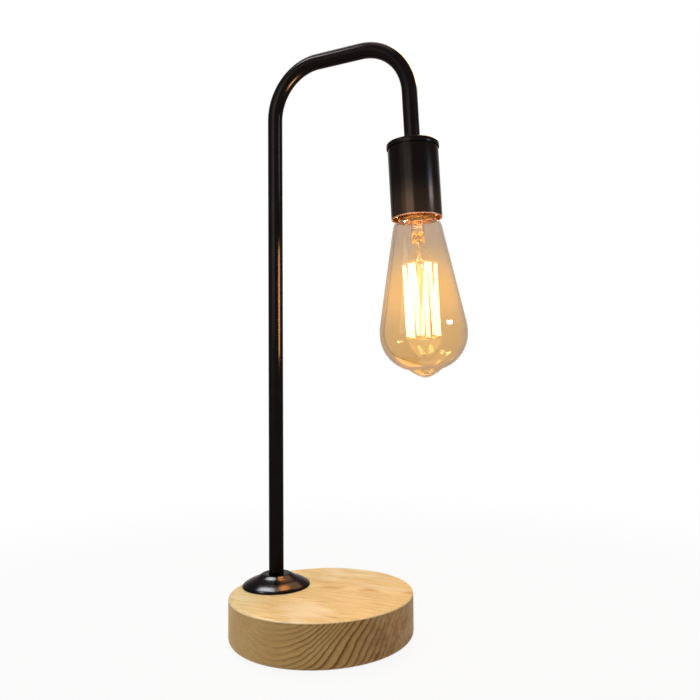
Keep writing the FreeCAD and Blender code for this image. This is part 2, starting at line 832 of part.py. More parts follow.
def make_glass():
    rim = cup_rim
    belly = rim + glass_belly
    bowl_axis = glass_belly_radius - glass_bowl_radius
    half = math.radians(glass_bowl_end_angle / 2)
    end = math.radians(glass_bowl_end_angle)
    tip = rim + glass_tip

    def at(radius, depth):
        return Vector(radius, 0, -depth)

    def bowl(angle):
        return at(bowl_axis + glass_bowl_radius * math.cos(angle),
                  belly + glass_bowl_radius * math.sin(angle))

    def smooth(points, first=None, last=None):
        curve = Part.BSplineCurve()
        if first is None:
            curve.interpolate(points)
        else:
            curve.interpolate(Points=points, InitialTangent=first, FinalTangent=last)
        return curve.toShape()

    seal_low = glass_top + glass_seal / 2
    neck_top = skirt_top + bulb_cap_wall * 2
    neck_low = rim + bulb_skirt_past_rim / 2
    shoulder = [at(r, rim + s) for r, s in glass_shoulder]
    cone_end = at(glass_cone_radius, rim + glass_cone_end)
    cone = (cone_end - shoulder[-1]).normalize()
    downwards = Vector(0, 0, -1)
    bend_middle = at(glass_cone_radius + (glass_belly_radius - glass_cone_radius) * 3 / 4,
                     rim + (glass_cone_end + glass_belly) / 2)
    nipple_side = at(glass_nipple_radius, tip - glass_nipple_height)
    nipple_foot = at(glass_nipple_radius + (bowl(end).x - glass_nipple_radius) / 2,
                     (tip - glass_nipple_height - bowl(end).z) / 2)
    edges = [
        Part.LineSegment(at(0, glass_top), at(glass_seal_radius, glass_top)).toShape(),
        Part.LineSegment(at(glass_seal_radius, glass_top), at(glass_seal_radius, seal_low)).toShape(),
        smooth([at(glass_seal_radius, seal_low), at(glass_neck_radius, neck_top)], downwards, downwards),
        Part.LineSegment(at(glass_neck_radius, neck_top), at(glass_neck_radius, neck_low)).toShape(),
        smooth([at(glass_neck_radius, neck_low)] + shoulder, downwards, cone),
        Part.LineSegment(shoulder[-1], cone_end).toShape(),
        Part.Arc(cone_end, bend_middle, bowl(0)).toShape(),
        Part.Arc(bowl(0), bowl(half), bowl(end)).toShape(),
        smooth([bowl(end), nipple_foot, nipple_side, at(0, tip)],
               Vector(-math.sin(end), 0, -math.cos(end)), Vector(-1, 0, 0)),
        Part.LineSegment(at(0, tip), at(0, glass_top)).toShape(),
    ]
    solid = spun(edges)
    top = [face for face in solid.Faces if abs(face.CenterOfMass.z + glass_top) < close_fit]
    return solid.makeThickness(top, -glass_wall, close_fit / 100)


def make_glass_stem():
    """Flare sealed in the neck, tube, flattened press, rod, and the two buttons of the cage."""
    wall = glass_wall
    flare_radius = glass_seal_radius - glass_wall - close_fit / 2
    flare_low = glass_top + glass_wall
    tube = stem_glass_radius
    press_high = cup_rim + press_top
    press_low = cup_rim + press_bottom
    flare = spun(hprofile((flare_radius, glass_top),
                          (flare_radius, flare_low),
                          [((flare_radius + tube) / 2, flare_low + wall), (tube, flare_low + tube)],
                          (tube, press_high), (tube - wall, press_high), (tube - wall, flare_low + tube),
                          [((flare_radius + tube) / 2 - wall, flare_low),
                           (flare_radius - wall, glass_top)]))
    press = hblock(-press_width / 2, press_width / 2, -press_depth / 2, press_depth / 2,
                   press_high, press_low)
    upright_edges = [edge for edge in press.Edges
                     if abs(edge.tangentAt(edge.FirstParameter).dot(up)) > math.cos(math.pi / 4)]
    press = press.makeFillet(press_depth / 4, upright_edges)
    press.rotate(origin, up, cage_turn + 90)
    rod = hdisc(rod_radius, press_low, cage_low + button_height / 2)
    buttons = [hdisc(button_radius, level - button_height / 2, level + button_height / 2)
               for level in (cage_high, cage_low)]
    stem = flare.fuse([press, rod] + buttons)
    holes = [swept(path, wire_radius) for path in lead_paths()]
    return stem.cut(holes)


def cage_point(angle, radius, depth):
    turn = math.radians(angle)
    return Vector(radius * math.cos(turn), radius * math.sin(turn), -depth)


def top_angle(k):
    return cage_turn + (k + 0.5) * 360 / cage_points


def bottom_angle(k):
    return cage_turn + cage_twist + k * 360 / cage_points


def lead_paths():
    """Two lead-in wires: driver board, press, and out to the wires of the upper button."""
    start = driver_low()
    leave = cup_rim + press_bottom + lead_exit
    near = cage_turn - 90
    far = cage_turn + 90
    left = [cage_point(near, lead_spread, start), cage_point(near, lead_spread, leave),
            cage_point(near, button_radius + wire_radius * 3, cage_high - wire_radius)]
    right = [cage_point(far, lead_spread, start), cage_point(far, lead_spread, leave),
             cage_point(far, lead_side, cage_high - lead_side_drop),
             cage_point(far, lead_side, cage_high - wire_radius)]
    return [route(left, [core_bend]), route(right, [lead_bend, lead_bend])]


def driver_low():
    return glass_top - free_fit


def make_driver():
    low = driver_low()
    high = low - driver_thickness
    board = hdisc(driver_radius, high, low)
    capacitor = hdisc(driver_capacitor_radius, high - driver_capacitor_height, high, -driver_radius / 3)
    chip_start = driver_radius / 4
    chip = hblock(chip_start, chip_start + driver_chip_length, -driver_chip_width / 2,
                  driver_chip_width / 2, high - driver_chip_height, high)
    return board.fuse([capacitor, chip])


def make_supports():
    wires = []
    reach = cage_radius + stick_radius
    for k in range(cage_points):
        for angle, level in ((top_angle(k), cage_high), (bottom_angle(k), cage_low)):
            wires.append(rod_between(cage_point(angle, button_radius, level),
                                     cage_point(angle, reach, level), wire_radius))
    return wires


def make_filaments():
    """Zigzag of straight sticks between the upper and lower anchor points."""
    sticks = []
    for k in range(cage_points):
        for side in (-1, 1):
            below = bottom_angle(k + (1 if side > 0 else 0))
            top = cage_point(top_angle(k) + side * stick_pair, cage_radius, cage_high + wire_radius)
            bottom = cage_point(below - side * stick_pair, cage_radius, cage_low - wire_radius)
            sticks.append(rod_between(top, bottom, stick_radius))
    return sticks


save("wood_base", make_wood_base())
save("felt_pad", disc(pad_radius, 0, pad_thickness))
save("cover_plate", make_cover())
save("cover_screws", make_cover_screws())
save("cord_bushing", make_bushing())
save("base_flange", make_flange())
save("terminal_block", make_terminal_block())
save("terminal_inserts", make_block_inserts())
save("clamp_screws", make_block_screws())
save("block_screws", make_fixing_screws())

save("stem_tube", make_tube())
save("stem_nipple", ring(nipple_radius, nipple_bore, nipple_low, tube_bottom + nipple_grip, stem_x))
save("flat_washer", ring(washer_radius, nipple_radius + close_fit, washer_low, pocket_top, stem_x))
save("earth_tag", make_earth_tag())
save("lock_washer", make_lock_washer())
save("stem_nut", make_nut(nut_low, stem_x))

save("live_core", lamp_core(1))
save("neutral_core", lamp_core(-1))
save("earth_core", earth_core())

save("holder_cap", hung(make_cap()))
save("holder_cup", hung(make_cup()))
save("holder_nipple", hung(hring(nipple_radius, nipple_bore, -nipple_grip, holder_nipple_low)))
save("holder_bridge", hung(make_bridge()))
save("holder_nut", hung(make_nut(-holder_nut_low)))
save("bridge_posts", hung(make_posts()))
save("socket_screws", hung(make_socket_screws()))
save("socket_body", hung(make_socket_body()))
save("screw_shell", hung(make_screw_shell()))
save("live_strap", hung(make_live_strap()))
save("neutral_strap", hung(make_neutral_strap()))
save("terminal_screws", hung(make_terminal_screws()))
save("contact_tongue", hung(make_tongue()))

save("bulb_contact", hung(make_contact()))
save("bulb_insulator", hung(make_insulator()))
save("bulb_cap", hung(make_bulb_cap()))
save("bulb_driver", hung(make_driver()))
save("bulb_glass", hung(make_glass()))
save("bulb_glass_stem", hung(make_glass_stem()))
save("bulb_leads", hung([swept(path, wire_radius) for path in lead_paths()]))
save("cage_wires", hung(make_supports()))
save("filaments", hung(make_filaments()))

landmarks = {
    "holder top": holder_top,
    "rim": hung_point(0, 0, cup_rim),
    "tongue pivot": hung_point(-tongue_pivot, 0, tongue_level),
    "down": down,
}
for name, point in landmarks.items():
    print(name, [round(value, 5) for value in point])
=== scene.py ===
import json
import math

import bmesh
import bpy
from mathutils import Matrix, Vector


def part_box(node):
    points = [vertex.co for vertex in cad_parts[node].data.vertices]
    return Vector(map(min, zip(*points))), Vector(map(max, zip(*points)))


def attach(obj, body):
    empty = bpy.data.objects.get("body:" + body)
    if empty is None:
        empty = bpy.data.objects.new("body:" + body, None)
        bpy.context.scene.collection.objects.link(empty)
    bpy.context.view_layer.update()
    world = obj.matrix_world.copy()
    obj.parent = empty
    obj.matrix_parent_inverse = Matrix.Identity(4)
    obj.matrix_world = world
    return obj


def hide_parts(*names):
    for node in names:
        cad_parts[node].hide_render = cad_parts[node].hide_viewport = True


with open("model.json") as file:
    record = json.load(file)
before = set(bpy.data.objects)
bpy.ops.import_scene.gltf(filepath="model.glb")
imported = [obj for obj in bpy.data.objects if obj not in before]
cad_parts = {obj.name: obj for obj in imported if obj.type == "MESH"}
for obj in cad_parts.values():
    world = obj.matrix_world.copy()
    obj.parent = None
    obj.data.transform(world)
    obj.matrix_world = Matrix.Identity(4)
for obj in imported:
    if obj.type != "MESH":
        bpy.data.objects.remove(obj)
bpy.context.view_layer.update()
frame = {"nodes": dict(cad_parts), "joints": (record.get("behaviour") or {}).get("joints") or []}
scene = bpy.context.scene
mm = 0.001
print("frame loaded,", len(frame["nodes"]), "nodes")


# One socket of a node tree. Python's operators on it add Math nodes, in shader and geometry trees alike.
class Value:
    def __init__(self, graph, socket):
        self.graph = graph
        self.socket = socket

    def __add__(self, other):
        return self.graph.math("ADD", self, other)

    def __sub__(self, other):
        return self.graph.math("SUBTRACT", self, other)

    def __rsub__(self, other):
        return self.graph.math("SUBTRACT", other, self)

    def __mul__(self, other):
        return self.graph.math("MULTIPLY", self, other)

    def __truediv__(self, other):
        return self.graph.math("DIVIDE", self, other)

    def __rtruediv__(self, other):
        return self.graph.math("DIVIDE", other, self)

    def __mod__(self, other):
        return self.graph.math("MODULO", self, other)

    def __pow__(self, other):
        return self.graph.math("POWER", self, other)

    __radd__ = __add__
    __rmul__ = __mul__


class Graph:
    def __init__(self, tree):
        self.tree = tree

    # settings go in before the sockets, because some of them change which sockets there are
    def node(self, kind, settings=None, inputs=None, output=0):
        made = self.tree.nodes.new(kind)
        for name, value in (settings or {}).items():
            if name == "stops":
                self.fillRamp(made.color_ramp, value)
            else:
                setattr(made, name, value)
        for name, value in (inputs or {}).items():
            if isinstance(value, Value):
                self.tree.links.new(value.socket, made.inputs[name])
            else:
                made.inputs[name].default_value = value
        return Value(self, made.outputs[output]) if made.outputs else None

    def fillRamp(self, ramp, stops):
        while len(ramp.elements) < len(stops):
            ramp.elements.new(0.5)
        for element, (place, colour) in zip(ramp.elements, stops):
            element.position = place
            element.color = (*colour, 1.0)

    def math(self, operation, *values):
        return self.node("ShaderNodeMath", {"operation": operation}, dict(enumerate(values)))

    def vector(self, operation, *values, output=0):
        return self.node("ShaderNodeVectorMath", {"operation": operation}, dict(enumerate(values)), output)

    def join(self, x, y, z):
        return self.node("ShaderNodeCombineXYZ", None, {0: x, 1: y, 2: z})

    def split(self, vector):
        parts = self.node("ShaderNodeSeparateXYZ", None, {0: vector}).socket.node
        return [Value(self, socket) for socket in parts.outputs]


class Finish(Graph):
    def __init__(self, name):
        self.material = bpy.data.materials.new(name)
        self.material.use_nodes = True
        super().__init__(self.material.node_tree)
        self.tree.nodes.clear()
        self.place = self.node("ShaderNodeTexCoord", None, None, "Object")

    def noise(self, place, scale, detail=2.0, roughness=0.5):
        inputs = {"Vector": place, "Scale": scale, "Detail": detail, "Roughness": roughness}
        return self.node("ShaderNodeTexNoise", None, inputs)

    # 0 at low and 1 at high, with soft ends
    def fade(self, value, low, high, bottom=0.0, top=1.0):
        inputs = {"Value": value, "From Min": low, "From Max": high, "To Min": bottom, "To Max": top}
        return self.node("ShaderNodeMapRange", {"interpolation_type": "SMOOTHSTEP"}, inputs)

    def mix(self, share, first, second, blend="MIX"):
        settings = {"data_type": "RGBA", "blend_type": blend}
        return self.node("ShaderNodeMix", settings, {0: share, 6: first, 7: second}, 2)

    def ramp(self, value, stops):
        return self.node("ShaderNodeValToRGB", {"stops": stops}, {0: value})

    def bump(self, height, strength, distance):
        inputs = {"Strength": strength, "Distance": distance, "Height": height}
        return self.node("ShaderNodeBump", None, inputs)

    # closes the tree with a Principled shader and gives the material back
    def surface(self, inputs):
        shader = self.node("ShaderNodeBsdfPrincipled", None, inputs)
        self.node("ShaderNodeOutputMaterial", None, {"Surface": shader})
        return self.material


def rgb(red, green, blue):
    return (red, green, blue, 1.0)


cameraView = dict(place=(314.41, -492.24, 206.96), yaw=27.02, pitch=1.92, roll=-0.46, lens=37.32,
                  shift=-0.0588)

holderJoint = next(joint for joint in frame["joints"] if joint["name"] == "bulb_turn")
rimCentre = Vector(holderJoint["pos_m"])
down = Vector(holderJoint["axis"]).normalized()
hangUp = -down
hangAcross = Vector((0, 1, 0)).cross(hangUp)
hanging = Matrix((hangAcross, (0, 1, 0), hangUp)).transposed().to_4x4()
hanging.translation = rimCentre


def makeCamera():
    yaw, pitch, roll = (math.radians(cameraView[name]) for name in ("yaw", "pitch", "roll"))
    turned = Matrix.Rotation(yaw, 4, "Z") @ Matrix.Rotation(math.pi / 2 + pitch, 4, "X")
    turned = turned @ Matrix.Rotation(roll, 4, "Z")
    data = bpy.data.cameras.new("camera")
    data.lens = cameraView["lens"]
    data.shift_x = cameraView["shift"]
    data.clip_start = 0.01
    camera = bpy.data.objects.new("camera", data)
    camera.matrix_world = Matrix.Translation(Vector(cameraView["place"]) * mm) @ turned
    scene.collection.objects.link(camera)
    scene.camera = camera


# Each studio light: the way to it, in degrees round and up from the place it is aimed at, its distance and
# sides in metres, its brightness and colour. A strip shows only in gloss.
aims = {
    "lamp": (0, 0, 0.2), "flange": (-0.046, 0, 0.04), "stem": (-0.046, 0, 0.268), "bend": (-0.034, 0, 0.449),
}
studioLights = {
    "topSoftbox": dict(turn=180, lift=76, away=1.2, wide=0.9, high=0.9, bright=3.45,
                       colour=(1.0, 0.985, 0.95)),
    "leftSoftbox": dict(turn=-118, lift=16, away=1.3, wide=0.45, high=0.8, bright=1.05,
                        colour=(1.0, 0.99, 0.97)),
    "archStrip": dict(turn=-140, lift=54, away=1.2, wide=0.26, high=0.22, bright=60,
                      colour=(0.72, 0.86, 1.0)),
    "leftStrip": dict(turn=-90, lift=19, away=1.2, wide=0.7, high=0.6, bright=3.6,
                      colour=(0.95, 0.96, 1.0)),
    "rightStrip": dict(turn=8, lift=18.8, away=4.0, wide=1.2, high=0.4, bright=32,
                       colour=(0.52, 0.70, 1.0)),
    "hazeStrip": dict(turn=85, lift=46, away=1.2, wide=0.6, high=0.5, bright=14,
                      colour=(1.0, 0.66, 0.40)),
    "flangeStrip": dict(aim="flange", turn=180, lift=71, away=0.36, wide=0.07, high=0.2, bright=18,
                        colour=(0.67, 0.86, 1.0), spread=70),
    "warmStrip": dict(aim="flange", turn=84, lift=72, away=0.36, wide=0.07, high=0.11, bright=15.5,
                      colour=(1.0, 0.42, 0.12), spread=70),
    "stemStrip": dict(aim="stem", turn=2, lift=4, away=0.09, wide=0.034, high=0.1, bright=14.5,
                      colour=(1.0, 0.59, 0.24), spread=70),
    "bendStrip": dict(aim="bend", turn=0, lift=-57, away=0.09, wide=0.03, high=0.03, bright=14,
                      colour=(1.0, 0.59, 0.24), spread=60),
}
bulbLight = dict(depth=62.0, radius=11.0, power=0.75, colour=(1.0, 0.56, 0.20))
ambient = dict(strength=0.24, colour=(1.0, 0.985, 0.96), nearShare=0.92, nearEnds=0.22, farStarts=0.75)


def rayIsSeen(graph):
    rays = graph.node("ShaderNodeLightPath").socket.node
    camera, glossy, through = (Value(graph, rays.outputs[name]) for name in
                               ("Is Camera Ray", "Is Glossy Ray", "Is Transmission Ray"))
    return graph.math("MAXIMUM", graph.math("MAXIMUM", camera, glossy), through)


def addLight(name, kind, place, turned, settings):
    data = bpy.data.lights.new(name, kind)
    for setting, value in settings.items():
        setattr(data, setting, value)
    light = bpy.data.objects.new(name, data)
    light.matrix_world = Matrix.Translation(place) @ turned
    light.visible_camera = False
    scene.collection.objects.link(light)
    return light


def makeLight():
    for name, light in studioLights.items():
        turn, lift = math.radians(light["turn"]), math.radians(light["lift"])
        way = Vector((math.cos(turn) * math.cos(lift), math.sin(turn) * math.cos(lift), math.sin(lift)))
        place = Vector(aims[light.get("aim", "lamp")]) + way * light["away"]
        made = addLight(name, "AREA", place, way.to_track_quat("Z", "Y").to_matrix().to_4x4(), {
            "shape": "RECTANGLE", "size": light["wide"], "size_y": light["high"], "color": light["colour"],
            "energy": light["bright"] * math.pi * light["wide"] * light["high"],
            "spread": math.radians(light.get("spread", 180))})
        made.visible_diffuse = "Strip" not in name
    glow = addLight("bulbLight", "POINT", rimCentre + down * bulbLight["depth"] * mm, Matrix(), {
        "shadow_soft_size": bulbLight["radius"] * mm, "color": bulbLight["colour"],
        "energy": bulbLight["power"]})
    glow.visible_transmission = False
    world = bpy.data.worlds.new("studio")
    world.use_nodes = True
    world.node_tree.nodes.clear()
    graph = Graph(world.node_tree)
    soft = graph.node("ShaderNodeBackground", None, {0: rgb(*ambient["colour"]), 1: ambient["strength"]})
    white = graph.node("ShaderNodeBackground", None, {0: rgb(1, 1, 1), 1: 1.0})
    both = graph.node("ShaderNodeMixShader", None, {0: rayIsSeen(graph), 1: soft, 2: white})
    graph.node("ShaderNodeOutputWorld", None, {0: both})
    scene.world = world
    scene.view_settings.view_transform = "Standard"


def makeFloor():
    finish = Finish("paperFloor")
    grain = finish.noise(finish.place, 40.0)
    colour = finish.mix(grain, rgb(0.64, 0.64, 0.64), rgb(0.68, 0.68, 0.68))
    paper = finish.node("ShaderNodeBsdfPrincipled", None, {"Base Color": colour, "Roughness": 0.9})
    white = finish.node("ShaderNodeEmission", None, {0: rgb(1, 1, 1), 1: 1.0})
    # the paper shows its shadow near the lamp and is plain white further out
    fromLamp = finish.vector("LENGTH", finish.place, output=1)
    share = finish.fade(fromLamp, ambient["nearEnds"], ambient["farStarts"], ambient["nearShare"], 1.0)
    both = finish.node("ShaderNodeMixShader", None, {0: rayIsSeen(finish) * share, 1: paper, 2: white})
    finish.node("ShaderNodeOutputMaterial", None, {0: both})
    half = 4.0
    under = 0.1  # just below the felt
    corners = [(-half, -half, 0), (half, -half, 0), (half, half, 0), (-half, half, 0)]
    mesh = bpy.data.meshes.new("floor")
    mesh.from_pydata(corners, [], [(0, 1, 2, 3)])
    mesh.transform(Matrix.Translation((0, 0, -under * mm)))
    mesh.materials.append(finish.material)
    floor = bpy.data.objects.new("floor", mesh)
    scene.collection.objects.link(floor)


makeCamera()
makeLight()
makeFloor()
print("camera, light and floor ready")


# Points of a curve through the given ones. It runs on from the line before it and into the line after it
# where they nearly line up with it.
def smoothCurve(points, lead, tail, each=8):
    knots = [Vector(p) for p in points]
    chords = [b - a for a, b in zip(knots, knots[1:])]
    ways = [chord.normalized() for chord in chords]
    first, last = (knots[0] - Vector(lead)).normalized(), (Vector(tail) - knots[-1]).normalized()
    slopes = [first if first.dot(ways[0]) > 0.8 else ways[0]]
    for k in range(1, len(ways)):
        share = chords[k - 1].length / (chords[k - 1].length + chords[k].length)
        slopes.append(ways[k - 1] * (1 - share) + ways[k] * share)
    slopes.append(last if last.dot(ways[-1]) > 0.8 else ways[-1])
    made = []
    for k, chord in enumerate(chords):
        for step in range(1, each + 1):
            t = step / each
            bend = slopes[k] * (t - 2 * t ** 2 + t ** 3) + slopes[k + 1] * (t ** 3 - t ** 2)
            made.append(knots[k] + chord * (3 * t ** 2 - 2 * t ** 3) + bend * chord.length)
    return made


def roundedCorner(before, here, after, radius, pieces=6):
    back, onward = (before - here).normalized(), (after - here).normalized()
    half = back.angle(onward) / 2
    centre = here + (back + onward).normalized() * radius / math.sin(half)
    start, end = (here + way * radius / math.tan(half) - centre for way in (back, onward))
    sweep = math.copysign(math.pi - 2 * half, start.cross(end))
    return [centre + Matrix.Rotation(sweep * k / pieces, 2) @ start for k in range(pieces + 1)]


# An outline is a list of (radius, height) corners in millimetres. A third number rounds that corner, and a
# list among the corners is a smooth curve through its points.
def outlinePoints(steps):
    corners = []
    for k, step in enumerate(steps):
        if isinstance(step, list):
            lead = corners[-2][0] if len(corners) > 1 else corners[-1][0]
            tail = steps[k + 1][:2] if k + 1 < len(steps) else step[-1]
            curve = smoothCurve([corners[-1][0]] + step, lead, tail)
            corners += [(point, 0) for point in curve]
        else:
            corners.append((Vector(step[:2]), step[2] if len(step) > 2 else 0))
    points = []
    for k, (here, radius) in enumerate(corners):
        before, after = corners[k - 1][0], corners[(k + 1) % len(corners)][0]
        points += roundedCorner(before, here, after, radius) if radius else [here]
    return points


def shaded(mesh, sharpAngle=32):
    mesh.shade_smooth()
    mesh.set_sharp_from_angle(angle=math.radians(sharpAngle))
    return mesh


def meshFrom(name, form):
    mesh = bpy.data.meshes.new(name)
    form.to_mesh(mesh)
    form.free()
    return mesh


# Solid of revolution about the Z axis from a closed outline in millimetres.
def turnedMesh(name, points, steps=144):
    form = bmesh.new()
    corners = [form.verts.new((p[0] * mm, 0, p[1] * mm)) for p in points]
    edges = [form.edges.new(pair) for pair in zip(corners, corners[1:] + corners[:1])]
    bmesh.ops.spin(form, geom=corners + edges, cent=(0, 0, 0), axis=(0, 0, 1), angle=2 * math.pi,
                   steps=steps, use_merge=True)
    bmesh.ops.remove_doubles(form, verts=form.verts, dist=0.001 * mm)
    onAxis = [edge for edge in form.edges if not edge.link_faces]
    bmesh.ops.delete(form, geom=onAxis, context="EDGES")
    bmesh.ops.recalc_face_normals(form, faces=form.faces)
    return shaded(meshFrom(name, form))


def addPiece(name, mesh, body, materials, replaced):
    piece = bpy.data.objects.new(name, mesh)
    scene.collection.objects.link(piece)
    for material in materials:
        mesh.materials.append(material)
    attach(piece, body)
    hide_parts(*replaced)
    return piece


# The mesh that a geometry tree makes from its named sizes.
def grownMesh(name, build, sizes):
    kinds = {float: "NodeSocketFloat", int: "NodeSocketInt", Vector: "NodeSocketVector",
             bpy.types.Material: "NodeSocketMaterial"}
    tree = bpy.data.node_groups.new(name, "GeometryNodeTree")
    for size, value in sizes.items():
        tree.interface.new_socket(size, in_out="INPUT", socket_type=kinds[type(value)])
    tree.interface.new_socket("Geometry", in_out="OUTPUT", socket_type="NodeSocketGeometry")
    graph = Graph(tree)
    given = tree.nodes.new("NodeGroupInput")
    made = build(graph, {size: Value(graph, given.outputs[size]) for size in sizes})
    made = graph.node("GeometryNodeRealizeInstances", None, {0: made})
    graph.node("NodeGroupOutput", None, {0: made})
    holder = bpy.data.objects.new(name, bpy.data.meshes.new(name))
    scene.collection.objects.link(holder)
    modifier = holder.modifiers.new(name, "NODES")
    modifier.node_group = tree
    for item in tree.interface.items_tree:
        if item.in_out == "INPUT":
            modifier[item.identifier] = sizes[item.name]
    mesh = bpy.data.meshes.new_from_object(holder.evaluated_get(bpy.context.evaluated_depsgraph_get()))
    bpy.data.objects.remove(holder)
    return mesh


# A welded copy of a CAD node's mesh, which then takes smooth shading.
def weldedMesh(node, sharpAngle=32):
    form = bmesh.new()
    form.from_mesh(frame["nodes"][node].data)
    bmesh.ops.remove_doubles(form, verts=form.verts, dist=0.001 * mm)
    mesh = meshFrom(node + "Welded", form)
    mesh.materials.clear()
    return shaded(mesh, sharpAngle)


pine = dict(
    grainTurn=3.0,  # the grain runs this many degrees round from +X
    pithAcross=62.0, pithHeight=-40.0,  # the heart of the tree, behind the lamp and under the table
    ringWidth=4.2, denseFrom=135.0, denseShare=0.30,
    topLight=rgb(0.87, 0.66, 0.27), topDark=rgb(0.70, 0.44, 0.14),
    sideLight=rgb(0.76, 0.51, 0.20), sideDark=rgb(0.24, 0.09, 0.012),
    flameAcross=14.0, flameLean=0.15, flameHalf=5.5, flameStep=34.0, flame=rgb(0.80, 0.58, 0.32),
    glint=rgb(1.0, 0.80, 0.36), streak=rgb(0.52, 0.30, 0.09), cream=rgb(0.96, 0.83, 0.53),
    # mottle and shade darken the right of the side as painted shade
    resin=rgb(0.78, 0.50, 0.17), mottleShade=rgb(0.70, 0.55, 0.47), shade=rgb(0.80, 0.79, 0.84),
)


def makePine():
    finish = Finish("oiledPine")
    turn = math.radians(pine["grainTurn"])
    x, y, z = finish.split(finish.place)
    along = (x * math.cos(turn) + y * math.sin(turn)) / mm
    across = (y * math.cos(turn) - x * math.sin(turn)) / mm
    height = z / mm
    # growth rings about the heart, drawn out of true by slow and quick waves
    sway = finish.noise(finish.join(along * 0.12, across, height), 0.018, 2.0) - 0.5
    ripple = finish.noise(finish.join(along * 0.35, across, height), 0.11, 3.0, 0.6) - 0.5
    fromPith = finish.math("POWER", across - pine["pithAcross"], 2) \
        + finish.math("POWER", height - pine["pithHeight"], 2)
    radius = finish.math("SQRT", fromPith) + sway * 12.0 + ripple * 1.9
    dense = finish.math("SMOOTH_MAX", radius - pine["denseFrom"], 0.0, 6.0)
    rings = radius / pine["ringWidth"] + dense * pine["denseShare"]
    phase = finish.math("FRACT", rings)
    strength = finish.node("ShaderNodeTexWhiteNoise", {"noise_dimensions": "1D"},
                           {"W": finish.math("FLOOR", rings)})
    late = finish.ramp(phase, [(0.0, (0.1, 0.1, 0.1)), (0.3, (0.0, 0.0, 0.0)), (0.62, (0.35, 0.35, 0.35)),
                               (0.82, (1.0, 1.0, 1.0)), (0.93, (0.8, 0.8, 0.8)), (1.0, (0.1, 0.1, 0.1))])
    facing = finish.split(finish.node("ShaderNodeTexCoord", None, None, "Normal"))
    flat = finish.fade(facing[2], 0.1, 0.4)
    fibre = finish.noise(finish.join(along * 0.02, across, height), 1.3, 3.0, 0.6)
    pores = finish.noise(finish.join(along * 0.06, across, height), 3.2, 2.0, 0.7)
    cloud = finish.noise(finish.join(along * 0.45, across, height), 0.06, 3.0)
    # on the side the lines are strong towards the right and nearly gone at the rear and the far right
    plain = finish.fade(along + cloud * 20.0, 0.0, 46.0, 0.14, 1.0) \
        * finish.fade(along + cloud * 12.0, 66.0, 78.0, 1.0, 0.3)
    side = finish.mix(late * plain * (strength * 0.5 + 0.72), pine["sideLight"], pine["sideDark"])
    # painted shade: random blotches, strongest towards the right, and a broad multiply darken the right of
    # the side
    shadeBlotch = finish.fade(finish.noise(finish.join(along, across, height), 0.16, 3.0, 0.6), 0.42, 0.62)
    side = finish.mix(shadeBlotch * finish.fade(along, 52.0, 68.0, 0.15, 0.8), side, pine["mottleShade"], "MULTIPLY")
    side = finish.mix(finish.fade(along, 42.0, 70.0), side, pine["shade"], "MULTIPLY")
    # on top a broken darker flame runs beside the stem, with fine streaks and pale patches
    top = finish.mix(late * (strength * 0.3 + 0.1), pine["topLight"], pine["topDark"])
    drift = finish.noise(finish.join(along * 0.25 + 90.0, across, height), 0.1, 3.0, 0.55)
    top = finish.mix(finish.fade(drift, 0.5, 0.68) * 0.55, top, pine["resin"])
    fromFlame = finish.math("ABSOLUTE", across - along * pine["flameLean"] - pine["flameAcross"])
    tongues = finish.noise(finish.join(along * 0.22, across, height), 0.16, 3.0, 0.6)
    pulse = finish.math("COSINE", along * (2 * math.pi / pine["flameStep"])) + (tongues - 0.5) * 5.0
    flame = finish.fade(fromFlame, pine["flameHalf"], 0.5) * finish.fade(pulse, -0.9, 1.2)
    glint = finish.fade(fromFlame, pine["flameHalf"] * 2, 1.0) * finish.fade(pulse, 0.2, -1.2)
    top = finish.mix(glint * 0.6, top, pine["glint"])
    top = finish.mix(flame * finish.fade(along, -24.0, -12.0), top, pine["flame"], "MULTIPLY")
    streaks = finish.noise(finish.join(along * 0.055, across, height), 0.75, 3.0, 0.62)
    top = finish.mix(finish.fade(streaks, 0.51, 0.67) * 0.7, top, pine["streak"])
    pale = finish.noise(finish.join(along * 0.4, across, height), 0.045, 2.0)
    top = finish.mix(finish.fade(pale, 0.50, 0.68) * 0.65, top, pine["cream"])
    # painted highlight: the rounded top edge is lightened with cream
    edge = finish.fade(facing[2], 0.1, 0.5) * finish.fade(facing[2], 0.98, 0.8)
    top = finish.mix(edge * 0.8, top, pine["cream"])
    colour = finish.mix(flat, side, top)
    tint = finish.ramp(cloud, [(0.35, (0.93, 0.88, 0.80)), (0.65, (1.0, 1.0, 1.0))])
    colour = finish.mix(0.8, colour, tint, "MULTIPLY")
    grain = finish.ramp(fibre, [(0.3, (0.86, 0.80, 0.70)), (0.62, (1.0, 1.0, 1.0))])
    colour = finish.mix(0.75, colour, grain, "MULTIPLY")
    speck = finish.ramp(pores, [(0.30, (0.80, 0.72, 0.62)), (0.42, (1.0, 1.0, 1.0))])
    colour = finish.mix(0.55, colour, speck, "MULTIPLY")
    relief = fibre * 0.35 + pores * 0.25 - late * 0.6
    return finish.surface({
        "Base Color": colour,
        "Roughness": finish.fade(fibre, 0.2, 0.8, 0.42, 0.58),
        "Specular IOR Level": 0.22,
        "Normal": finish.bump(relief, 0.35, 0.12 * mm),
    })


def makeFelt():
    finish = Finish("pressedFelt")
    tufts = finish.noise(finish.place, 2200.0, 4.0, 0.7)
    patches = finish.noise(finish.place, 60.0, 2.0)
    colour = finish.mix(tufts, rgb(0.012, 0.012, 0.013), rgb(0.06, 0.058, 0.055))
    colour = finish.mix(patches * 0.4, colour, rgb(0.03, 0.03, 0.032))
    return finish.surface({
        "Base Color": colour, "Roughness": 0.95, "Sheen Weight": 0.4,
        "Normal": finish.bump(tufts, 0.8, 0.3 * mm),
    })
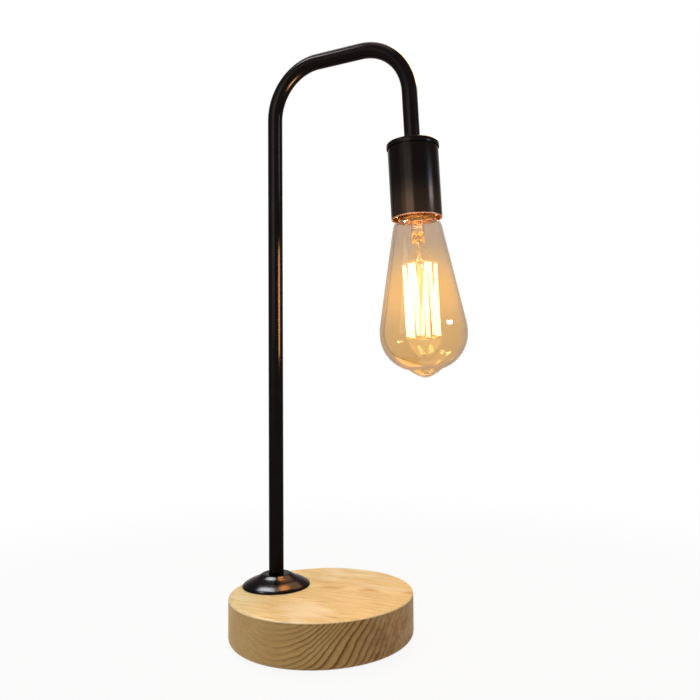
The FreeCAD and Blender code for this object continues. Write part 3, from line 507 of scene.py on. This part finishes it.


# Black steel of the tube, flange and holder. A painted warm glow of the bulb's light browns the holder
# towards its rim, painted bulb light turns the rim's edge pinkish brown, and painted bulb light colours the
# inside of the cup above the rim.
steel = dict(
    dark=rgb(0.0052, 0.0041, 0.0037), light=rgb(0.0085, 0.007, 0.0063), edgeTint=rgb(0.58, 0.56, 0.56),
    warmGlow=rgb(0.030, 0.0185, 0.012), warmGlowFrom=-31.0, warmGlowTo=-4.0,
    bulbLitInside=rgb(0.30, 0.10, 0.04), bulbLitRim=rgb(0.40, 0.22, 0.14), bulbLitRimFrom=-0.75, bulbLitRimTo=-0.3,
)


def makeBlackSteel():
    finish = Finish("satinBlackSteel")
    fine = finish.noise(finish.place, 1400.0, 2.0)
    broad = finish.noise(finish.place, 70.0, 3.0)
    fromRim = finish.vector("SUBTRACT", finish.place, rimCentre)
    depth = finish.vector("DOT_PRODUCT", fromRim, down, output=1) / mm
    aside = finish.vector("LENGTH", finish.vector("CROSS_PRODUCT", fromRim, down), output=1) / mm
    atHolder = finish.fade(aside, 26.0, 24.0) * finish.fade(depth, 2.0, 1.0)
    # painted warm glow: the bulb's light browns the holder towards its rim
    warmGlowShare = finish.fade(depth, steel["warmGlowFrom"], steel["warmGlowTo"]) * atHolder
    # painted light: the bulb lights the rim's edge pinkish brown
    rimLitShare = finish.fade(depth + fine * 0.2, steel["bulbLitRimFrom"], steel["bulbLitRimTo"]) * atHolder
    colour = finish.mix(broad, steel["dark"], steel["light"])
    colour = finish.mix(warmGlowShare, colour, steel["warmGlow"])
    # painted light: the bulb's light colours the inside of the cup above the rim
    inside = finish.fade(aside, 18.7, 18.2) * atHolder * finish.fade(depth, -9.0, -2.0)
    colour = finish.mix(inside, colour, steel["bulbLitInside"])
    colour = finish.mix(rimLitShare, colour, steel["bulbLitRim"])
    return finish.surface({
        "Base Color": colour, "Metallic": 1.0, "Specular Tint": steel["edgeTint"],
        "Roughness": finish.fade(broad, 0.3, 0.7, 0.17, 0.23) + rimLitShare * 0.25 + inside * 0.3,
        "Normal": finish.bump(fine, 0.12, 0.02 * mm),
    })


# Metal, plastic and the like, which differ in a few numbers: the colour drifts between two shades and a fine
# grain roughens it.
def makeSolidFinish(name, shade, other, metallic, rough, roughOther, grainScale=900.0, bumpStrength=0.1,
                    coat=0.0):
    finish = Finish(name)
    broad = finish.noise(finish.place, 160.0, 3.0)
    fine = finish.noise(finish.place, grainScale, 3.0, 0.6)
    return finish.surface({
        "Base Color": finish.mix(broad * 0.7 + fine * 0.3, rgb(*shade), rgb(*other)),
        "Metallic": metallic, "Coat Weight": coat, "Coat Roughness": 0.08,
        "Roughness": finish.fade(fine, 0.3, 0.7, rough, roughOther),
        "Normal": finish.bump(fine, bumpStrength, 0.03 * mm),
    })


finishes = {
    "pine": makePine(),
    "felt": makeFelt(),
    "black_steel": makeBlackSteel(),
    "zinc_steel": makeSolidFinish("zincPlate", (0.46, 0.46, 0.45), (0.66, 0.66, 0.63), 1.0, 0.28, 0.45),
    "rubber": makeSolidFinish("rubber", (0.018, 0.018, 0.018), (0.04, 0.04, 0.04), 0.0, 0.6, 0.8),
    "block_plastic": makeSolidFinish("milkyPlastic", (0.74, 0.74, 0.71), (0.82, 0.82, 0.80), 0.0, 0.35, 0.5),
    "brass": makeSolidFinish("pressedBrass", (0.70, 0.47, 0.17), (0.86, 0.63, 0.28), 1.0, 0.2, 0.36),
    "brown_core": makeSolidFinish("brownInsulation", (0.16, 0.06, 0.02), (0.24, 0.10, 0.04), 0.0, 0.3, 0.45),
    "blue_core": makeSolidFinish("blueInsulation", (0.02, 0.09, 0.42), (0.04, 0.14, 0.56), 0.0, 0.3, 0.45),
    "porcelain": makeSolidFinish("glazedPorcelain", (0.80, 0.77, 0.70), (0.88, 0.86, 0.80), 0.0, 0.2, 0.3,
                                 500.0, 0.05, 0.6),
    "bronze": makeSolidFinish("springBronze", (0.60, 0.32, 0.13), (0.72, 0.42, 0.20), 1.0, 0.22, 0.4),
    "cap_insulator": makeSolidFinish("blackInsulator", (0.012, 0.01, 0.012), (0.03, 0.027, 0.03), 0.0, 0.08,
                                     0.16, 500.0, 0.05, 0.5),
    "driver_board": makeSolidFinish("circuitBoard", (0.02, 0.13, 0.06), (0.05, 0.22, 0.10), 0.0, 0.35, 0.5),
    "nickel_wire": makeSolidFinish("nickelWire", (0.62, 0.50, 0.27), (0.82, 0.70, 0.42), 1.0, 0.18, 0.3),
}


def makeEarthCore():
    finish = Finish("earthInsulation")
    x, y, z = finish.split(finish.place)
    stripes = finish.math("SINE", finish.math("ARCTAN2", y, z - 0.014) * 2.0 + x * 300.0)
    fine = finish.noise(finish.place, 900.0)
    colour = finish.mix(finish.fade(stripes, -0.1, 0.1), rgb(0.05, 0.28, 0.04), rgb(0.78, 0.66, 0.04))
    return finish.surface({
        "Base Color": colour,
        "Roughness": finish.fade(fine, 0.3, 0.7, 0.3, 0.45),
    })


finishes["earth_core"] = makeEarthCore()
print("finishes ready")

woodLow, woodHigh = (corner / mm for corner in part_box("wood_base"))
padLow, padHigh = (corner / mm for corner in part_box("felt_pad"))
flangeLow, flangeHigh = (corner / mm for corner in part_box("base_flange"))
stemX = (flangeLow.x + flangeHigh.x) / 2

base = dict(topRound=1.2, footRound=5.0, padGap=0.3, pocketRear=-58.0, pocketFront=26.0, pocketHalf=18.0,
            pocketTop=22.0, ledge=7.0, coverTop=3.5, stemHole=5.3, inletHeight=11.0, inletRadius=5.0,
            flangeSeat=7.1, flangeSeatDepth=1.6, barbSeat=5.9)


# Cylinder or round-ended slot, in millimetres, standing on low.
def slotMesh(rear, front, half, low, high, steps=48):
    around = []
    for k in range(steps):
        angle = 2 * math.pi * (k + 0.5) / steps
        centre = front - half if math.cos(angle) > 0 else rear + half
        around.append((centre + half * math.cos(angle), half * math.sin(angle)))
    form = bmesh.new()
    face = form.faces.new([form.verts.new((x * mm, y * mm, low * mm)) for x, y in around])
    grown = bmesh.ops.extrude_face_region(form, geom=[face])
    lifted = [item for item in grown["geom"] if isinstance(item, bmesh.types.BMVert)]
    bmesh.ops.translate(form, verts=lifted, vec=(0, 0, (high - low) * mm))
    bmesh.ops.recalc_face_normals(form, faces=form.faces)
    return meshFrom("cutter", form)


# The same lying along X at a height.
def lyingMesh(radius, rear, front, height):
    mesh = slotMesh(-radius, radius, radius, rear, front)
    mesh.transform(Matrix.Translation((0, 0, height * mm)) @ Matrix.Rotation(math.pi / 2, 4, "Y"))
    return mesh


def makeWoodBase():
    radius, top, foot = woodHigh.x, woodHigh.z, woodLow.z
    recess = padHigh.x + base["padGap"]
    wood = turnedMesh("woodBase", outlinePoints([
        (0, padHigh.z), (recess, padHigh.z), (recess, foot), (radius, foot, base["footRound"]),
        (radius, top, base["topRound"]), (radius - 4, top), (radius / 2, top), (0, top)]), 192)
    over = 0.5
    cutters = [
        slotMesh(base["pocketRear"] - base["ledge"], base["pocketFront"] + base["ledge"],
                 base["pocketHalf"] + base["ledge"], padHigh.z - over, base["coverTop"]),
        slotMesh(base["pocketRear"], base["pocketFront"], base["pocketHalf"], padHigh.z, base["pocketTop"]),
        slotMesh(stemX - base["stemHole"], stemX + base["stemHole"], base["stemHole"],
                 base["pocketTop"] - over, top + over),
        lyingMesh(base["inletRadius"], -radius - over, base["pocketRear"] + base["inletRadius"],
                  base["inletHeight"]),
        lyingMesh(base["flangeSeat"], -radius - over, -radius + base["flangeSeatDepth"], base["inletHeight"]),
        lyingMesh(base["barbSeat"], base["pocketRear"], base["pocketRear"] + base["pocketHalf"],
                  base["inletHeight"]),
    ]
    blank = bpy.data.objects.new("woodBlank", wood)
    scene.collection.objects.link(blank)
    tools = []
    for mesh in cutters:
        tool = bpy.data.objects.new("cutter", mesh)
        scene.collection.objects.link(tool)
        tools.append(tool)
        cut = blank.modifiers.new("cut", "BOOLEAN")
        cut.operation = "DIFFERENCE"
        cut.solver = "EXACT"
        cut.object = tool
    mesh = bpy.data.meshes.new_from_object(blank.evaluated_get(bpy.context.evaluated_depsgraph_get()))
    for used in tools + [blank]:
        bpy.data.objects.remove(used)
    mesh.name = "woodBase"
    return addPiece("woodBase", shaded(mesh), "lamp", [finishes["pine"]], ["wood_base"])


makeWoodBase()
print("wooden base ready")

flange = dict(rim=0.9, hub=10.4, foot=5.0, hollow=1.0, bore=5.3, seat=6.1, seatDepth=1.0,
              curve=[(0.97, 0.15), (0.80, 0.35), (0.60, 0.53), (0.40, 0.67), (0.25, 0.79), (0.15, 0.90),
                     (0.07, 0.975)])


def makeFlange():
    radius = flangeHigh.x - stemX
    floor, top = flangeLow.z, flangeHigh.z
    high = top - floor
    width = radius - flange["hub"]
    curve = [(flange["hub"] + out * width, floor + rise * high) for out, rise in flange["curve"]]
    mesh = turnedMesh("stemFlange", outlinePoints([
        (flange["bore"], top - flange["seatDepth"]), (flange["bore"], floor),
        (flange["bore"] + flange["foot"], floor), (flange["bore"] + flange["foot"], floor + flange["hollow"]),
        (radius - flange["foot"], floor + flange["hollow"]), (radius - flange["foot"], floor),
        (radius, floor, 0.2), (radius, floor + flange["rim"], 0.35),
        curve + [(flange["hub"], top)],
        (flange["seat"], top, 0.15), (flange["seat"], top - flange["seatDepth"])]))
    mesh.transform(Matrix.Translation((stemX * mm, 0, 0)))
    addPiece("stemFlange", mesh, "lamp", [finishes["black_steel"]], ["base_flange"])


stem = dict(radius=6.0, wall=1.5, armHeight=461.5, bendRadius=42.0, footSink=1.0, around=48, bendPieces=28)
holder = dict(capTop=57.8, capRadius=20.0, capHeight=4.2, capPlate=1.8, capRound=1.4, capHole=5.1,
              cupRadius=19.25, cupWall=1.2, capGap=0.1)


# The tube's centre line: four corners, the two upper ones rounded by the bend radius.
def stemTree(graph, size):
    index = graph.node("GeometryNodeInputIndex")
    line = graph.node("GeometryNodeMeshLine", None, {"Count": 4})
    corner = graph.node("GeometryNodeIndexSwitch", {"data_type": "VECTOR"}, {"Index": index})
    switch = corner.socket.node
    while len(switch.index_switch_items) < 4:
        switch.index_switch_items.new()
    for k, name in enumerate(("Foot", "Rear corner", "Front corner", "Holder end")):
        graph.tree.links.new(size[name].socket, switch.inputs[k + 1])
    line = graph.node("GeometryNodeSetPosition", None, {"Geometry": line, "Position": corner})
    path = graph.node("GeometryNodeMeshToCurve", None, {0: line})
    path = graph.node("GeometryNodeFilletCurve", {"mode": "POLY"},
                      {"Curve": path, "Count": size["Bend pieces"], "Radius": size["Bend radius"]})
    section = graph.node("GeometryNodeCurvePrimitiveCircle", None,
                         {"Resolution": size["Around"], "Radius": size["Tube radius"]})
    tube = graph.node("GeometryNodeCurveToMesh", None, {"Curve": path, "Profile Curve": section})
    return graph.node("GeometryNodeSetMaterial", None, {"Geometry": tube, "Material": size["Finish"]})


def makeStem():
    foot = Vector((stemX, 0, flangeHigh.z - stem["footSink"])) * mm
    rear = Vector((stemX, 0, stem["armHeight"])) * mm
    end = rimCentre + hangUp * holder["capTop"] * mm
    front = end + hangUp * ((rear.z - end.z) / hangUp.z)
    mesh = grownMesh("bentStem", stemTree, {
        "Foot": foot, "Rear corner": rear, "Front corner": front, "Holder end": end,
        "Bend radius": stem["bendRadius"] * mm, "Bend pieces": stem["bendPieces"],
        "Tube radius": stem["radius"] * mm, "Around": stem["around"], "Finish": finishes["black_steel"]})
    form = bmesh.new()
    form.from_mesh(mesh)
    bmesh.ops.remove_doubles(form, verts=form.verts, dist=0.001 * mm)
    bmesh.ops.recalc_face_normals(form, faces=form.faces)
    lowest = form.faces[:stem["around"]]
    if sum(face.normal.dot(face.calc_center_median() - foot) for face in lowest) < 0:
        bmesh.ops.reverse_faces(form, faces=form.faces)
    skin = bpy.data.objects.new("stemSkin", meshFrom("bentStem", form))
    scene.collection.objects.link(skin)
    wall = skin.modifiers.new("wall", "SOLIDIFY")
    wall.thickness = stem["wall"] * mm
    wall.offset = -1.0
    wall.use_even_offset = True
    tube = bpy.data.meshes.new_from_object(skin.evaluated_get(bpy.context.evaluated_depsgraph_get()))
    bpy.data.objects.remove(skin)
    tube.materials.clear()
    addPiece("bentStem", shaded(tube, 50), "lamp", [finishes["black_steel"]], ["stem_tube"])


def makeHolder():
    top, radius = holder["capTop"], holder["capRadius"]
    plateLow = top - holder["capPlate"]
    inside = holder["cupRadius"] + holder["capGap"]
    cap = turnedMesh("holderCap", outlinePoints([
        (holder["capHole"], plateLow), (holder["capHole"], top), (radius, top, holder["capRound"]),
        (radius, top - holder["capHeight"], 0.25), (inside, top - holder["capHeight"], 0.1),
        (inside, plateLow)]))
    cup = turnedMesh("holderCup", outlinePoints([
        (holder["cupRadius"] - holder["cupWall"], plateLow), (holder["cupRadius"], plateLow, 0.3),
        (holder["cupRadius"], 0, 0.35), (holder["cupRadius"] - holder["cupWall"], 0, 0.35)]))
    for mesh, name, node in ((cap, "holderCap", "holder_cap"), (cup, "holderCup", "holder_cup")):
        mesh.transform(hanging)
        addPiece(name, mesh, "lamp", [finishes["black_steel"]], [node])


makeFlange()
makeStem()
makeHolder()
print("stem, flange and holder ready")

glass = dict(
    wall=0.8, seal=(10.7, 6.8), sealLow=3.4, neck=13.3, neckHigh=0.6, neckLow=0.5,
    shoulder=[(14.6, 2.0), (16.6, 4.0), (17.7, 7.0), (18.3, 10.0)], coneEnd=(30.8, 76.0),
    belly=(32.0, 86.5), bowl=27.0, bowlEnd=74.0, bowlPieces=24, nipple=(8.1, 115.4), tip=118.5,
    topTint=(0.71, 0.59, 0.475), middleTint=(0.835, 0.64, 0.385), lowTint=(0.785, 0.595, 0.335),
    glow=rgb(1.0, 0.50, 0.05), thickEdge=rgb(0.42, 0.24, 0.10),
)
cage = dict(anchors=6, radius=11.9, top=33.3, length=56.8, turn=-65.0, twist=-12.0, pair=6.5,
            stick=1.25, pin=0.3, coated=0.03)


def makeAmberGlass():
    finish = Finish("amberGlass")
    fromRim = finish.vector("SUBTRACT", finish.place, rimCentre)
    depth = finish.vector("DOT_PRODUCT", fromRim, down, output=1) / mm
    cloudy = finish.noise(finish.place, 45.0, 2.0)
    length = (depth + (cloudy - 0.5) * 8.0) / glass["tip"]
    tint = finish.ramp(length, [(0.12, glass["topTint"]), (0.42, glass["middleTint"]),
                                (0.62, glass["middleTint"]), (0.84, glass["lowTint"])])
    lit = finish.fade(depth, 20.0, 46.0) * finish.fade(depth, 84.0, 58.0)
    glow = finish.mix(lit, rgb(0, 0, 0), glass["glow"])
    clear = finish.node("ShaderNodeBsdfPrincipled", None, {
        "Base Color": tint, "Roughness": 0.0, "IOR": 1.45, "Transmission Weight": 1.0,
        "Emission Color": glow, "Emission Strength": 0.06})
    # seen edge on, the wall is long and swallows the light
    thick = finish.node("ShaderNodeBsdfPrincipled", None, {
        "Base Color": glass["thickEdge"], "Roughness": 0.0, "IOR": 1.0, "Transmission Weight": 1.0})
    facing = finish.node("ShaderNodeLayerWeight", None, {"Blend": 0.5}, "Facing")
    share = finish.math("MINIMUM", facing ** 4.5 * 1.5, 0.85)
    both = finish.node("ShaderNodeMixShader", None, {0: share, 1: clear, 2: thick})
    finish.node("ShaderNodeOutputMaterial", None, {0: both})
    return finish.material


def makeClearGlass():
    finish = Finish("clearGlass")
    fromRim = finish.vector("SUBTRACT", finish.place, rimCentre)
    depth = finish.vector("DOT_PRODUCT", fromRim, down, output=1) / mm
    knots = finish.noise(finish.place, 520.0, 2.0, 0.7)
    # painted glow: the press and, dimmer, the rod shine gold as if carrying the filaments' light, and the
    # press is tinted amber
    press = finish.fade(depth, 9.5, 11.0) * finish.fade(depth, 20.0, 18.0)
    bright = press * finish.fade(knots, 0.42, 0.6)
    light = finish.mix(bright, rgb(0.02, 0.012, 0.004), rgb(1.0, 0.62, 0.18))
    rod = finish.fade(depth, 33.0, 36.0) * finish.fade(depth, 92.0, 86.0)
    light = finish.mix(rod, light, rgb(0.34, 0.27, 0.13))
    colour = finish.mix(knots, rgb(0.96, 0.91, 0.82), rgb(1.0, 0.98, 0.94))
    return finish.surface({
        "Base Color": finish.mix(press * 0.8, colour, rgb(0.62, 0.40, 0.16)),
        "Roughness": 0.02, "IOR": 1.22, "Transmission Weight": 1.0,
        "Emission Color": light, "Emission Strength": 0.75,
    })


def makeLitFilament():
    finish = Finish("litFilament")
    bands = finish.noise(finish.place, 900.0, 1.0)
    colour = finish.mix(bands, rgb(1.0, 0.80, 0.52), rgb(1.0, 0.88, 0.66))
    return finish.surface({
        "Base Color": finish.mix(bands, rgb(0.90, 0.72, 0.35), rgb(0.95, 0.80, 0.45)), "Roughness": 0.5,
        "Emission Color": colour, "Emission Strength": 3.6,
    })


finishes["amber_glass"] = makeAmberGlass()
finishes["clear_glass"] = makeClearGlass()
finishes["lit_filament"] = makeLitFilament()


# Wall of even thickness: the outline again, moved inwards and run back.
def walled(outer, wall):
    inner = []
    for k, here in enumerate(outer):
        before, after = outer[max(k - 1, 0)], outer[min(k + 1, len(outer) - 1)]
        along = (after - before).normalized()
        moved = here + Vector((along.y, -along.x)) * wall
        inner.append(Vector((max(moved.x, 0.0), moved.y)))
    return outer + inner[::-1]


def makeEnvelope():
    neck, belly = glass["neck"], Vector(glass["belly"])
    centre = belly.x - glass["bowl"]
    bowl = []
    for k in range(1, glass["bowlPieces"] + 1):
        angle = math.radians(glass["bowlEnd"]) * k / glass["bowlPieces"]
        bowl.append((centre + glass["bowl"] * math.cos(angle), belly.y + glass["bowl"] * math.sin(angle)))
    cone = glass["coneEnd"]
    foot = ((glass["nipple"][0] + bowl[-1][0]) / 2, (glass["nipple"][1] + bowl[-1][1]) / 2)
    flare = ((glass["seal"][0] + neck) / 2, -(glass["sealLow"] + glass["neckHigh"]) / 2)
    steps = [
        (glass["seal"][0], -glass["seal"][1]), (glass["seal"][0], -glass["sealLow"]),
        [flare, (neck, -glass["neckHigh"])],
        (neck, glass["neckLow"]),
        list(glass["shoulder"]),
        cone,
        [(belly.x - (belly.x - cone[0]) / 4, (cone[1] + belly.y) / 2), tuple(belly)],
    ]
    steps += bowl
    steps += [[foot, glass["nipple"], (0.0, glass["tip"])], (-1.0, glass["tip"])]
    outer = [Vector((point.x, -point.y)) for point in outlinePoints(steps)[:-1]]
    mesh = turnedMesh("bulbEnvelope", walled(outer, -glass["wall"]), 160)
    mesh.transform(hanging)
    piece = addPiece("bulbEnvelope", mesh, "bulb", [finishes["amber_glass"]], ["bulb_glass"])
    piece.visible_shadow = False
    piece.visible_diffuse = False


# Zigzag of sticks between the upper and lower anchors. Two points of a line belong to each stick.
def cageTree(graph, size):
    index = graph.node("GeometryNodeInputIndex")
    stick = graph.math("FLOOR", index / 2.0)
    low = index % 2.0
    anchor = graph.math("FLOOR", stick / 2.0)
    side = stick % 2.0
    step = 360.0 / size["Anchors"]
    lean = (side * 2.0 - 1.0) * size["Pair"]
    topAngle = size["Turn"] + (anchor + 0.5) * step + lean
    lowAngle = size["Turn"] + size["Twist"] + (anchor + side) * step - lean
    angle = graph.math("RADIANS", topAngle + (lowAngle - topAngle) * low)
    height = 0.0 - size["Top"] - size["Length"] * low
    place = graph.join(graph.math("COSINE", angle) * size["Cage radius"],
                       graph.math("SINE", angle) * size["Cage radius"], height)
    line = graph.node("GeometryNodeMeshLine", None, {"Count": size["Anchors"] * 4.0})
    line = graph.node("GeometryNodeSetPosition", None, {"Geometry": line, "Position": place})
    line = graph.node("GeometryNodeDeleteGeometry", {"domain": "EDGE", "mode": "EDGE_FACE"},
                      {"Geometry": line, "Selection": index % 2.0})
    lines = graph.node("GeometryNodeMeshToCurve", None, {0: line})
    share = graph.node("GeometryNodeSplineParameter")
    wire = graph.node("GeometryNodeCurvePrimitiveCircle", None,
                      {"Resolution": 8, "Radius": size["Pin radius"]})
    pins = graph.node("GeometryNodeCurveToMesh", None,
                      {"Curve": lines, "Profile Curve": wire, "Fill Caps": True})
    pins = graph.node("GeometryNodeSetMaterial", None, {"Geometry": pins, "Material": size["Pins"]})
    coated = graph.node("GeometryNodeTrimCurve", {"mode": "FACTOR"},
                        {"Curve": lines, "Start": size["Bare end"], "End": 1.0 - size["Bare end"]})
    coated = graph.node("GeometryNodeResampleCurve", None, {"Curve": coated, "Count": 28})
    fromEnd = graph.math("MINIMUM", share, 1.0 - share)
    swell = graph.math("POWER", graph.math("MINIMUM", fromEnd * 25.0, 1.0), 0.5) * 0.75 + 0.25
    coated = graph.node("GeometryNodeSetCurveRadius", None, {"Curve": coated, "Radius": swell})
    section = graph.node("GeometryNodeCurvePrimitiveCircle", None,
                         {"Resolution": 14, "Radius": size["Stick radius"]})
    body = graph.node("GeometryNodeCurveToMesh", None,
                      {"Curve": coated, "Profile Curve": section, "Fill Caps": True})
    body = graph.node("GeometryNodeSetMaterial", None, {"Geometry": body, "Material": size["Coating"]})
    both = graph.node("GeometryNodeJoinGeometry")
    joined = both.socket.node
    graph.tree.links.new(pins.socket, joined.inputs[0])
    graph.tree.links.new(body.socket, joined.inputs[0])
    return both


def makeFilaments():
    mesh = grownMesh("filamentCage", cageTree, {
        "Anchors": cage["anchors"], "Cage radius": cage["radius"] * mm, "Top": cage["top"] * mm,
        "Length": cage["length"] * mm, "Turn": cage["turn"], "Twist": cage["twist"], "Pair": cage["pair"],
        "Stick radius": cage["stick"] * mm, "Pin radius": cage["pin"] * mm, "Bare end": cage["coated"],
        "Pins": finishes["nickel_wire"], "Coating": finishes["lit_filament"]})
    mesh.transform(hanging)
    piece = addPiece("filamentCage", shaded(mesh, 60), "bulb", [], ["filaments"])
    piece.visible_diffuse = False  # bulbLight stands for them there


makeEnvelope()
makeFilaments()

# smooth copies of the turned and threaded pieces that show in or under the holder
for node, body, slot in (("bulb_cap", "bulb", "brass"), ("bulb_insulator", "bulb", "cap_insulator"),
                         ("bulb_contact", "bulb_carrier", "zinc_steel"), ("screw_shell", "lamp", "brass"),
                         ("socket_body", "lamp", "porcelain"), ("cord_bushing", "lamp", "rubber"),
                         ("bulb_glass_stem", "bulb", "clear_glass"), ("bulb_leads", "bulb", "nickel_wire"),
                         ("cage_wires", "bulb", "nickel_wire")):
    addPiece(node + "Smooth", weldedMesh(node), body, [finishes[slot]], [node])
print("bulb ready")

# the CAD nodes that stay take the finish of their own slot
for name, node in frame["nodes"].items():
    if node.hide_render:
        continue
    for place in node.material_slots:
        slotName = place.material.name.split(".")[0]
        place.material = finishes[slotName]
